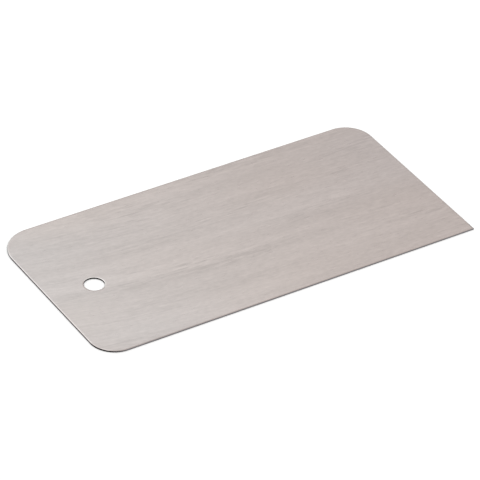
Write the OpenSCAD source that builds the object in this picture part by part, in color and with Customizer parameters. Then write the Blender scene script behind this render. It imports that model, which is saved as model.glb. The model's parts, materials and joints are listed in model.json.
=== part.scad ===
// Card scraper: one flat blank of hardened sheet steel, with a hole to hang it by.
// It lies on its lower face, and the origin is under the middle of the blank.
// The length runs along X, with the hole near the left end, and the thickness along Z.

/* [Blank] */
// Length of the blank
blade_length = 120; // [80:1:200]
// Width of the blank, from one working edge to the other
blade_width = 60; // [40:1:100]
// Thickness of the sheet
sheet_thickness = 0.45; // [0.3:0.05:1.5]

/* [Corners] */
// Radius of the corner between the left end and the back edge
left_back_radius = 10; // [2:0.5:18]
// Radius of the corner between the left end and the front edge
left_front_radius = 7.5; // [2:0.5:18]
// Radius of the corner between the right end and the back edge
right_back_radius = 8; // [2:0.5:18]

/* [Hanging hole] */
// Diameter of the hole
hole_diameter = 5.75; // [3:0.25:12]
// Distance from the left end to the middle of the hole
hole_inset = 14; // [9:0.5:30]
// Distance from the middle of the width to the middle of the hole, towards the front edge
hole_offset = 0.9; // [-8:0.1:8]

/* [Arrises] */
// Width of the arris taken off the outline, on both faces
outline_arris = 0.05; // [0.02:0.01:0.12]
// Width of the arris taken off the rims of the hole
hole_arris = 0.06; // [0.02:0.01:0.12]

/* [Hidden] */
$fn = 96;

// How far a cutter reaches past the metal that it takes away
clear = 1;

half_length = blade_length / 2;
half_width = blade_width / 2;
half_thickness = sheet_thickness / 2;
hole_radius = hole_diameter / 2;
hole_place = [hole_inset - half_length, -hole_offset, 0];

// Each side of the outline: the direction it faces, its distance from the middle, its length
sides = [
    [0, half_length, blade_width],
    [90, half_width, blade_length],
    [180, half_length, blade_width],
    [270, half_width, blade_length]
];

// Each rounded corner: the direction of the side before it, its place, its radius.
// The fourth corner, between the right end and the front edge, stays square.
rounded_corners = [
    [0, [half_length, half_width], right_back_radius],
    [90, [-half_length, half_width], left_back_radius],
    [180, [-half_length, -half_width], left_front_radius]
];

// Puts something at the centre that a rounded corner turns about
module at_centre(corner) {
    radius = corner[2];
    translate(corner[1]) rotate(corner[0]) translate([-radius, -radius]) children();
}

// What a rounded corner leaves off the rectangle
module corner_waste(radius) {
    difference() {
        square(radius + clear);
        circle(radius);
    }
}

// Outline of the blank
module outline() {
    difference() {
        square([blade_length, blade_width], center = true);
        for (corner = rounded_corners) at_centre(corner) corner_waste(corner[2]);
    }
}

// Section through the arris waste, beside an upright face at x = 0
module arris_section() {
    polygon([
        [-outline_arris - clear, half_thickness + clear],
        [clear, half_thickness - outline_arris - clear],
        [clear, half_thickness + clear]
    ]);
}

// What comes off the upper edges of the outline
module outline_arris_waste() {
    for (side = sides)
        rotate(side[0]) translate([side[1], 0, 0])
            rotate([90, 0, 0]) linear_extrude(side[2] + 2 * clear, center = true) arris_section();
    for (corner = rounded_corners)
        at_centre(corner) rotate_extrude(angle = 90) translate([corner[2], 0]) arris_section();
}

// What comes off the upper rim of the hole
module hole_arris_waste() {
    translate(hole_place) translate([0, 0, half_thickness - hole_arris])
        cylinder(h = hole_arris + clear, r1 = hole_radius, r2 = hole_radius + hole_arris + clear);
}

module blade() {
    color([0.76, 0.73, 0.72]) translate([0, 0, half_thickness])
        difference() {
            linear_extrude(sheet_thickness, center = true) outline();
            translate(hole_place)
                cylinder(h = sheet_thickness + 2 * clear, r = hole_radius, center = true);
            for (face = [0, 1]) mirror([0, 0, face]) {
                outline_arris_waste();
                hole_arris_waste();
            }
        }
}

blade();
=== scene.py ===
# Card scraper: one blank of brushed sheet steel, lying on a pale floor under soft studio light.
import json
import math
from collections import namedtuple

import bmesh
import bpy
from mathutils import Matrix, Vector


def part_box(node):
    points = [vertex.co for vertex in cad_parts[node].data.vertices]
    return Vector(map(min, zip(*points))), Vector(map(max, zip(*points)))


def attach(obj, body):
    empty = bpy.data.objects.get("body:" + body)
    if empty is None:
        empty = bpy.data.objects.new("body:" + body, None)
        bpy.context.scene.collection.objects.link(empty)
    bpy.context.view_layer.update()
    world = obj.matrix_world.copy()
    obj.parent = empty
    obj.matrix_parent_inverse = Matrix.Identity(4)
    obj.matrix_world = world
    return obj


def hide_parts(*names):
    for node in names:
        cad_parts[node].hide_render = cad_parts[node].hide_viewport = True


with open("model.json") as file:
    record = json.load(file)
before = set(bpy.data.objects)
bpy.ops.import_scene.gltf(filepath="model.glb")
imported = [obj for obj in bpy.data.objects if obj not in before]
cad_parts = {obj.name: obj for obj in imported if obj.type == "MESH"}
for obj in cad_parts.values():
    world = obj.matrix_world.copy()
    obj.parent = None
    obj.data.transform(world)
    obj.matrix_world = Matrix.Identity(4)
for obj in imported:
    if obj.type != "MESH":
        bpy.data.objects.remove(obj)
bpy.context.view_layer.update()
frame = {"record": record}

MM = 0.001

# The blank, from the frame: its box and its hole
blank_low, blank_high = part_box("blade")
sheet_thickness = blank_high.z - blank_low.z
hole_mount = next(mount for mount in frame["record"]["mounts"] if mount["name"] == "hanging_hole")
hole_centre = Vector(hole_mount["pos_m"][:2])
hole_radius = hole_mount["dims"]["r_mm"] * MM

# Corner radii, as in the part's source. The front corner at the right end is square.
left_back_radius = 10 * MM
left_front_radius = 7.5 * MM
right_back_radius = 8 * MM

# Rims: the arris where a face turns into a cut edge, and the band of the face beside it that is burnished
outline_arris = 0.05 * MM
hole_arris = 0.06 * MM
burnish_width = 0.4 * MM
burnish_angle = math.radians(22)

# How steeply the rims are burnished, where 1 is the full angle, and how sharply that peaks at the front edge
# The same amounts also lighten the rim bands as a painted highlight, most beside the front edge
front_burnish_and_highlight = 1
end_burnish_and_highlight = 0.6
back_burnish_and_highlight = 0.1
hole_burnish_and_highlight = 0.3
front_burnish_and_highlight_power = 4

# How much painted shade darkens the cut edges: 0 is the least, and about 1 makes them near black
end_edge_shade = 0.6
corner_edge_shade = 1
hole_edge_shade = 1.05
hole_edge_shade_swing = 0.1

# Fineness of the mesh
arris_steps = 3
arc_steps = 32
face_rings = 6
widest_view_step = math.radians(2.5)

# Layout of the map for baking, as shares of its side: two faces, with two strips for the cut edges between
map_left = 0.025
map_face_width = 0.95
map_lower_start = 0.004
map_outline_strip = 0.484
map_hole_strip = 0.503
map_strip_height = 0.014
map_upper_start = 0.521

# The photograph's view: where the camera stands about the point that it is aimed at, and its lens
view_azimuth = math.radians(-33.94)
view_elevation = math.radians(36.3)
view_roll = math.radians(-3)
view_distance = 986 * MM
aim_point = Vector((-0.09 * MM, -2.45 * MM, 0))
focal_length_in_pixels = 3551.4
picture_width_in_pixels = 480


class OutlinePoint:
    """A point of the outline, and how far it moves outwards for each metre of growth."""

    def __init__(self, place, outward, square=False):
        self.place = place
        self.outward = outward
        self.square = square

    def inset(self, depth):
        """The place at a depth into the metal."""
        return self.place - self.outward * depth

    def burnish(self):
        """How steeply the band beside the edge is burnished, and how much it is lightened as a painted
        highlight: most at the front, and least at the back.
        """
        if self.outward.y < 0:
            frontness = self.outward.y**front_burnish_and_highlight_power
            return end_burnish_and_highlight + (front_burnish_and_highlight - end_burnish_and_highlight) * frontness
        return end_burnish_and_highlight + (back_burnish_and_highlight - end_burnish_and_highlight) * self.outward.y

    def shear(self):
        """How much painted shade darkens the cut: none at the long edges and the square corner, more at the
        ends, most at the round corners.
        """
        if self.square:
            return 0
        cornering = 2 * abs(self.outward.x * self.outward.y)
        return end_edge_shade * self.outward.x**2 + (corner_edge_shade - end_edge_shade / 2) * cornering


SectionPoint = namedtuple("SectionPoint", "place height burnish shear cut")


def direction(angle):
    """The unit vector in plan at an angle from X."""
    return Vector((math.cos(angle), math.sin(angle)))


def rounded_corner(corner, radius, start_angle):
    """Points of a quarter circle, anticlockwise, whose first point faces start_angle."""
    centre = corner - direction(start_angle + math.pi / 4) * radius * math.sqrt(2)
    points = []
    for step in range(arc_steps + 1):
        outward = direction(start_angle + math.pi / 2 * step / arc_steps)
        points.append(OutlinePoint(centre + outward * radius, outward))
    return points


def straight_side(start, end):
    """Points between two places on a side, at even steps of the angle seen from the hole."""
    outward = Vector((end.y - start.y, start.x - end.x)).normalized()
    reach = (start - hole_centre).dot(outward)
    turn = (end - hole_centre).angle_signed(start - hole_centre)
    first_angle = math.atan2(start.y - hole_centre.y, start.x - hole_centre.x)
    count = math.ceil(turn / widest_view_step)
    points = []
    for step in range(1, count):
        ray = direction(first_angle + turn * step / count)
        points.append(OutlinePoint(hole_centre + ray * (reach / ray.dot(outward)), outward))
    return points


def outline():
    """The whole outline, anticlockwise from the square corner."""
    left, front = blank_low.x, blank_low.y
    right, back = blank_high.x, blank_high.y
    corners = [
        [OutlinePoint(Vector((right, front)), Vector((1, -1)), square=True)],
        rounded_corner(Vector((right, back)), right_back_radius, 0),
        rounded_corner(Vector((left, back)), left_back_radius, math.pi / 2),
        rounded_corner(Vector((left, front)), left_front_radius, math.pi),
    ]
    points = []
    for corner, next_corner in zip(corners, corners[1:] + corners[:1]):
        points += corner + straight_side(corner[-1].place, next_corner[0].place)
    return points


def rim_section(arris, burnish, shear, place_at):
    """Section points from the flat face to the wall. place_at gives the place at a depth into the metal."""
    section = [SectionPoint(place_at(burnish_width), sheet_thickness, 0, shear, False)]
    for step in range(arris_steps + 1):
        angle = math.pi / 2 * step / arris_steps
        depth = arris * (1 - math.sin(angle))
        drop = arris * (1 - math.cos(angle))
        section.append(SectionPoint(place_at(depth), sheet_thickness - drop, burnish, shear, True))
    return section


def upper_section(point):
    """One column over the upper face, from the wall of the hole to the wall of the outline."""
    ray = (point.place - hole_centre).normalized()

    def hole_inset(depth):
        return hole_centre + ray * (hole_radius + depth)

    # Painted shade on the hole's wall: darkest on the hole's -X side
    shear = hole_edge_shade - hole_edge_shade_swing * ray.x
    hole_rim = rim_section(hole_arris, hole_burnish_and_highlight, shear, hole_inset)
    outline_rim = rim_section(outline_arris, point.burnish(), point.shear(), point.inset)
    start = hole_rim[0].place
    end = outline_rim[0].place
    face = []
    for ring in range(1, face_rings):
        face.append(SectionPoint(start.lerp(end, ring / face_rings), sheet_thickness, 0, 0, False))
    return hole_rim[::-1] + face + outline_rim


def face_on_map(place):
    """Where a place on a face lies on the map for baking. The upper face is in its top half."""
    upper = place.z > blank_low.z + sheet_thickness / 2
    scale = map_face_width / (blank_high.x - blank_low.x)
    start = map_upper_start if upper else map_lower_start
    return (map_left + (place.x - blank_low.x) * scale, start + (place.y - blank_low.y) * scale)


def edge_on_map(turn, ring, ring_count):
    """Where a point of a cut edge lies on the map for baking: in one of two strips between the faces."""
    strip_rings = 2 * arris_steps + 1
    along = map_left + turn * map_face_width
    ring_from_hole = (ring + arris_steps + 1) % ring_count
    if ring_from_hole <= strip_rings:
        return (along, map_hole_strip + ring_from_hole / strip_rings * map_strip_height)
    ring_from_outline = ring - (ring_count // 2 - arris_steps - 1)
    return (along, map_outline_strip + ring_from_outline / strip_rings * map_strip_height)


def build_columns(bm, points):
    """The blank's vertices: a closed column over both faces for each point of the outline."""
    burnish_and_highlight_layer = bm.verts.layers.float.new("burnish")
    edge_shade_layer = bm.verts.layers.float.new("shear")
    columns = []
    for point in points:
        upper = upper_section(point)
        lower = [each._replace(height=sheet_thickness - each.height) for each in reversed(upper)]
        column = []
        for each in upper + lower:
            vertex = bm.verts.new((each.place.x, each.place.y, blank_low.z + each.height))
            vertex[burnish_and_highlight_layer] = each.burnish
            vertex[edge_shade_layer] = each.shear
            column.append((vertex, each))
        columns.append(column)
    return columns


def build_faces(bm, points, columns):
    """The quads between neighbouring columns, with their materials and both of their maps."""
    grain_layer = bm.loops.layers.uv.new("grain")
    bake_layer = bm.loops.layers.uv.new("OFBake")
    for number, column in enumerate(columns):
        next_column = columns[(number + 1) % len(columns)]
        for ring in range(len(column)):
            steps = [(number, ring - 1), (number, ring), (number + 1, ring), (number + 1, ring - 1)]
            corners = [column[ring - 1], column[ring], next_column[ring], next_column[ring - 1]]
            cut = corners[0][1].cut and corners[1][1].cut
            face = bm.faces.new([vertex for vertex, _ in corners])
            face.smooth = True
            face.material_index = 1 if cut else 0
            for loop, (column_step, ring_step) in zip(face.loops, steps):
                place = loop.vert.co
                loop[grain_layer].uv = (place.y + place.z, place.x)
                if cut:
                    loop[bake_layer].uv = edge_on_map(column_step / len(columns), ring_step, len(column))
                else:
                    loop[bake_layer].uv = face_on_map(place)
            if points[number].square:
                bm.edges.get((corners[0][0], corners[1][0])).smooth = False


def build_blade():
    """The blank as one closed grid of quads: columns round the hole, along a closed section."""
    bm = bmesh.new()
    points = outline()
    columns = build_columns(bm, points)
    build_faces(bm, points, columns)
    mesh = bpy.data.meshes.new("blade_sheet")
    bm.to_mesh(mesh)
    bm.free()
    blade = bpy.data.objects.new("blade_sheet", mesh)
    bpy.context.collection.objects.link(blade)
    return blade


def add_node(tree, kind, inputs=None, **settings):
    """Adds a node, sets its settings, and links or sets each of its inputs."""
    node = tree.nodes.new(kind)
    for name, value in settings.items():
        setattr(node, name, value)
    for name, value in (inputs or {}).items():
        if isinstance(value, bpy.types.NodeSocket):
            tree.links.new(value, node.inputs[name])
        else:
            node.inputs[name].default_value = value
    return node


def new_material(name):
    """A new material, with its nodes and its shader."""
    material = bpy.data.materials.new(name)
    material.use_nodes = True
    tree = material.node_tree
    return material, tree, tree.nodes["Principled BSDF"]


def calculate(tree, operation, first, second, third=0.0):
    """The result of one operation on two or three values."""
    node = add_node(tree, "ShaderNodeMath", {0: first, 1: second, 2: third}, operation=operation)
    return node.outputs[0]


def multiply_each(tree, first, second):
    """Two vectors or colours, multiplied part by part."""
    node = add_node(tree, "ShaderNodeVectorMath", {0: first, 1: second}, operation="MULTIPLY")
    return node.outputs[0]


def noise(tree, place, length, width, seed=0.0):
    """Noise from 0 to 1, drawn out along X: its patches are about length by width, in metres."""
    stretched = multiply_each(tree, place, (1 / length, 1 / width, 1 / width))
    inputs = {"Vector": stretched, "W": seed, "Scale": 1.0, "Detail": 1.0}
    return add_node(tree, "ShaderNodeTexNoise", inputs, noise_dimensions="4D").outputs["Fac"]


def between(tree, value, low, high, start=0.0, end=1.0):
    """Runs from start to end as the value goes from low to high, and stays there beyond them."""
    limits = {"Value": value, "From Min": low, "From Max": high, "To Min": start, "To Max": end}
    return add_node(tree, "ShaderNodeMapRange", limits).outputs["Result"]


def colour_between(tree, value, low_colour, high_colour, low=0.0, high=1.0):
    """Runs from one colour to the other as the value goes from low to high."""
    ramp = add_node(tree, "ShaderNodeValToRGB", {"Fac": value})
    ends = zip(ramp.color_ramp.elements, (low, high), (low_colour, high_colour))
    for element, position, colour in ends:
        element.position = position
        element.color = (*colour, 1)
    return ramp.outputs["Color"]


def centred(tree, value, amount):
    """A noise from 0 to 1, turned into a change from minus to plus half the amount."""
    return calculate(tree, "MULTIPLY_ADD", value, amount, -amount / 2)


def brushing_place(tree):
    """Places on the metal, bent so that the brushing leans, wanders and turns down at the hole's end."""
    lean = -0.04
    wander = 1.2 * MM
    turn_start = -15 * MM
    turn_rate = 2.2
    place = add_node(tree, "ShaderNodeTexCoord").outputs["Object"]
    axes = add_node(tree, "ShaderNodeSeparateXYZ", {0: place})
    along = axes.outputs["X"]
    past_start = calculate(tree, "MINIMUM", calculate(tree, "SUBTRACT", along, turn_start), 0)
    turned = calculate(tree, "MULTIPLY", calculate(tree, "MULTIPLY", past_start, past_start), -turn_rate)
    wandering = centred(tree, noise(tree, place, length=30 * MM, width=12 * MM), wander)
    across = calculate(tree, "MULTIPLY_ADD", along, -lean, axes.outputs["Y"])
    across = calculate(tree, "ADD", calculate(tree, "ADD", across, turned), wandering)
    joined = add_node(tree, "ShaderNodeCombineXYZ", {"X": along, "Y": across, "Z": axes.outputs["Z"]})
    return joined.outputs[0]


def brushing_layers(tree):
    """The noises that the brushing is made of, from the finest lines to the broadest tint."""
    place = brushing_place(tree)
    return {
        "hairlines": noise(tree, place, length=12 * MM, width=0.2 * MM, seed=1),
        "long strokes": noise(tree, place, length=7 * MM, width=0.7 * MM, seed=2),
        "short strokes": noise(tree, place, length=3 * MM, width=0.5 * MM, seed=3),
        "scratches": noise(tree, place, length=6 * MM, width=0.4 * MM, seed=4),
        "mottling": noise(tree, place, length=1.3 * MM, width=0.7 * MM, seed=8),
        "patches": noise(tree, place, length=45 * MM, width=6 * MM, seed=77),
        "bands": noise(tree, place, length=75 * MM, width=4 * MM, seed=9),
        "wide bands": noise(tree, place, length=110 * MM, width=7 * MM, seed=27),
        "tints": noise(tree, place, length=110 * MM, width=40 * MM, seed=71),
    }


def brushed_tone(tree, layers, burnish):
    """The metal's tone, from 0 for dark to 1 for light. Patches hold most of the strokes and scratches."""
    middle_tone = 0.5
    long_stroke_strength = 1.15
    other_strengths = {
        "short strokes": 0.6,
        "mottling": 0.62,
        "hairlines": 0.3,
        "bands": 0.6,
        "wide bands": 0.6,
    }
    scratch_darkening = 0.5
    painted_rim_highlight = 0.35

    patch_strength = between(tree, layers["patches"], low=0.45, high=0.65, start=0.3, end=1)
    long_strokes = centred(tree, layers["long strokes"], long_stroke_strength)
    tone = calculate(tree, "ADD", calculate(tree, "MULTIPLY", long_strokes, patch_strength), middle_tone)
    for name, strength in other_strengths.items():
        tone = calculate(tree, "ADD", tone, centred(tree, layers[name], strength))
    scratch_lines = between(tree, layers["scratches"], low=0.52, high=0.72)
    scratch_patches = between(tree, layers["patches"], low=0.5, high=0.64)
    scratches = calculate(tree, "MULTIPLY", scratch_lines, scratch_patches)
    tone = calculate(tree, "MULTIPLY_ADD", scratches, -scratch_darkening, tone)
    # Painted highlight: the rim bands are lightened along with their burnish, most beside the front edge
    return calculate(tree, "MULTIPLY_ADD", burnish, painted_rim_highlight, tone)


def brushed_steel():
    """Steel brushed along its length, with burnished bands beside its rims that are also lightened as a
    painted highlight.
    """
    dark_steel = (0.487, 0.43, 0.415)
    light_steel = (0.645, 0.567, 0.549)
    cool_tint = (0.949, 0.97, 0.982)
    tan_tint = (0.996, 0.97, 0.943)
    least_roughness = 0.24
    roughness_spread = 0.12
    burnished_roughness_share = 0.4
    smooth_from_burnish = 0.2
    brushing_depth = 0.003 * MM
    burnish_depth = burnish_width * math.tan(burnish_angle)

    material, tree, shader = new_material("brushed_steel")
    burnish = add_node(tree, "ShaderNodeAttribute", attribute_name="burnish").outputs["Fac"]
    layers = brushing_layers(tree)
    colour = colour_between(tree, brushed_tone(tree, layers, burnish), dark_steel, light_steel)
    tint = colour_between(tree, layers["tints"], cool_tint, tan_tint, low=0.3, high=0.7)
    tree.links.new(multiply_each(tree, colour, tint), shader.inputs["Base Color"])

    roughness = calculate(tree, "MULTIPLY_ADD", layers["short strokes"], roughness_spread, least_roughness)
    smoothing = between(tree, burnish, 0, smooth_from_burnish, start=1, end=burnished_roughness_share)
    tree.links.new(calculate(tree, "MULTIPLY", roughness, smoothing), shader.inputs["Roughness"])
    shader.inputs["Metallic"].default_value = 1
    shader.inputs["Anisotropic"].default_value = 0.5
    tangent = add_node(tree, "ShaderNodeTangent", direction_type="UV_MAP", uv_map="grain")
    tree.links.new(tangent.outputs[0], shader.inputs["Tangent"])

    lines = calculate(tree, "ADD", layers["hairlines"], layers["long strokes"])
    relief = calculate(tree, "MULTIPLY", lines, brushing_depth)
    relief = calculate(tree, "MULTIPLY_ADD", burnish, -burnish_depth, relief)
    bump = add_node(tree, "ShaderNodeBump", {"Height": relief, "Strength": 1.0, "Distance": 1.0})
    tree.links.new(bump.outputs[0], shader.inputs["Normal"])
    return material


def sheared_edge():
    """The cut edges, dark grey to near black with painted shade, with marks across the sheet."""
    mark_width = 0.3 * MM
    mark_height = 1.5 * MM
    mark_depth = 0.01 * MM
    mark_detail = 3.0
    mark_strength = 0.4
    # Painted shade: both edge colours stand in for shade, a dark grey at the lightest and near black at the
    # darkest
    least_shaded_edge_tone = 0.85
    darkest_edge_colour = (0.008, 0.0078, 0.008)
    lightest_edge_colour = (0.25, 0.238, 0.247)
    least_roughness = 0.38
    roughness_spread = 0.2

    material, tree, shader = new_material("sheared_edge")
    place = add_node(tree, "ShaderNodeTexCoord").outputs["Object"]
    mark_place = multiply_each(tree, place, (1 / mark_width, 1 / mark_width, 1 / mark_height))
    mark_inputs = {"Vector": mark_place, "Scale": 1.0, "Detail": mark_detail}
    marks = add_node(tree, "ShaderNodeTexNoise", mark_inputs).outputs["Fac"]
    shear = add_node(tree, "ShaderNodeAttribute", attribute_name="shear").outputs["Fac"]
    # Painted shade: the edge's colour runs towards near black as the painted shade rises
    tone = calculate(tree, "MULTIPLY_ADD", shear, -least_shaded_edge_tone, least_shaded_edge_tone)
    tone = calculate(tree, "ADD", tone, centred(tree, marks, mark_strength))
    colour = colour_between(tree, tone, darkest_edge_colour, lightest_edge_colour)
    tree.links.new(colour, shader.inputs["Base Color"])
    roughness = calculate(tree, "MULTIPLY_ADD", marks, roughness_spread, least_roughness)
    tree.links.new(roughness, shader.inputs["Roughness"])
    shader.inputs["Metallic"].default_value = 1
    bump = add_node(tree, "ShaderNodeBump", {"Height": marks, "Strength": 1.0, "Distance": mark_depth})
    tree.links.new(bump.outputs[0], shader.inputs["Normal"])
    return material


def seen_directly(tree):
    """1 for what the camera sees, straight or in a mirror or through glass, and 0 for other light."""
    path = add_node(tree, "ShaderNodeLightPath")
    seen = calculate(tree, "MAXIMUM", path.outputs["Is Camera Ray"], path.outputs["Is Glossy Ray"])
    return calculate(tree, "MAXIMUM", seen, path.outputs["Is Transmission Ray"])


def white_floor():
    """A pale floor that keeps the shadow. It is lifted to white only where it is seen."""
    floor_radius = 6
    floor_sides = 64
    floor_gap = 0.02 * MM
    floor_colour = (0.8, 0.8, 0.8, 1)
    floor_roughness = 0.9
    floor_lift = 0.37

    mesh = bpy.data.meshes.new("floor")
    bm = bmesh.new()
    bmesh.ops.create_circle(bm, cap_ends=True, segments=floor_sides, radius=floor_radius)
    bm.to_mesh(mesh)
    bm.free()
    floor = bpy.data.objects.new("floor", mesh)
    floor.location.z = blank_low.z - floor_gap
    bpy.context.collection.objects.link(floor)
    material, tree, shader = new_material("floor_white")
    shader.inputs["Base Color"].default_value = floor_colour
    shader.inputs["Roughness"].default_value = floor_roughness
    shader.inputs["Emission Color"].default_value = (1, 1, 1, 1)
    lift = calculate(tree, "MULTIPLY", seen_directly(tree), floor_lift)
    tree.links.new(lift, shader.inputs["Emission Strength"])
    mesh.materials.append(material)


def studio_world():
    """A pale room, slightly warm."""
    room_colour = (1, 0.98, 0.968, 1)
    room_brightness = 0.82

    world = bpy.data.worlds.new("studio")
    world.use_nodes = True
    bpy.context.scene.world = world
    background = world.node_tree.nodes["Background"]
    background.inputs["Color"].default_value = room_colour
    background.inputs["Strength"].default_value = room_brightness


def soft_panel(name, place, width, height, turn, brightness, colour):
    """A rectangular soft light that faces the blank. Its surface is white at a brightness of 1."""
    data = bpy.data.lights.new(name, "AREA")
    data.shape = "RECTANGLE"
    data.size = width
    data.size_y = height
    data.energy = brightness * math.pi * width * height
    data.color = colour
    panel = bpy.data.objects.new(name, data)
    facing = Vector(place).to_track_quat("Z", "Y").to_matrix().to_4x4()
    panel.matrix_world = Matrix.Translation(place) @ facing @ Matrix.Rotation(turn, 4, "Z")
    panel.visible_camera = False
    bpy.context.collection.objects.link(panel)


def photograph_camera():
    """The camera, at the photograph's view."""
    data = bpy.data.cameras.new("camera")
    data.lens = focal_length_in_pixels / picture_width_in_pixels * data.sensor_width
    camera = bpy.data.objects.new("camera", data)
    turn = (
        Matrix.Rotation(view_azimuth, 4, "Z")
        @ Matrix.Rotation(math.pi / 2 - view_elevation, 4, "X")
        @ Matrix.Rotation(-view_roll, 4, "Z")
    )
    camera.matrix_world = Matrix.Translation(aim_point) @ turn @ Matrix.Translation((0, 0, view_distance))
    bpy.context.collection.objects.link(camera)
    bpy.context.scene.camera = camera


bpy.context.scene.view_settings.view_transform = "Standard"
photograph_camera()
studio_world()
soft_panel(
    "key_panel",
    place=(0.23, 0.515, 0.70),
    width=1.1,
    height=0.49,
    turn=math.radians(-40),
    brightness=0.64,
    colour=(0.637, 0.788, 0.797),
)
soft_panel(
    "overhead_strip",
    place=(-0.02, 0.44, 0.85),
    width=0.33,
    height=0.8,
    turn=0,
    brightness=0.6,
    colour=(0.86, 0.96, 1),
)
white_floor()

blade = build_blade()
blade.data.materials.append(brushed_steel())
blade.data.materials.append(sheared_edge())
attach(blade, "root")
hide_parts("blade")
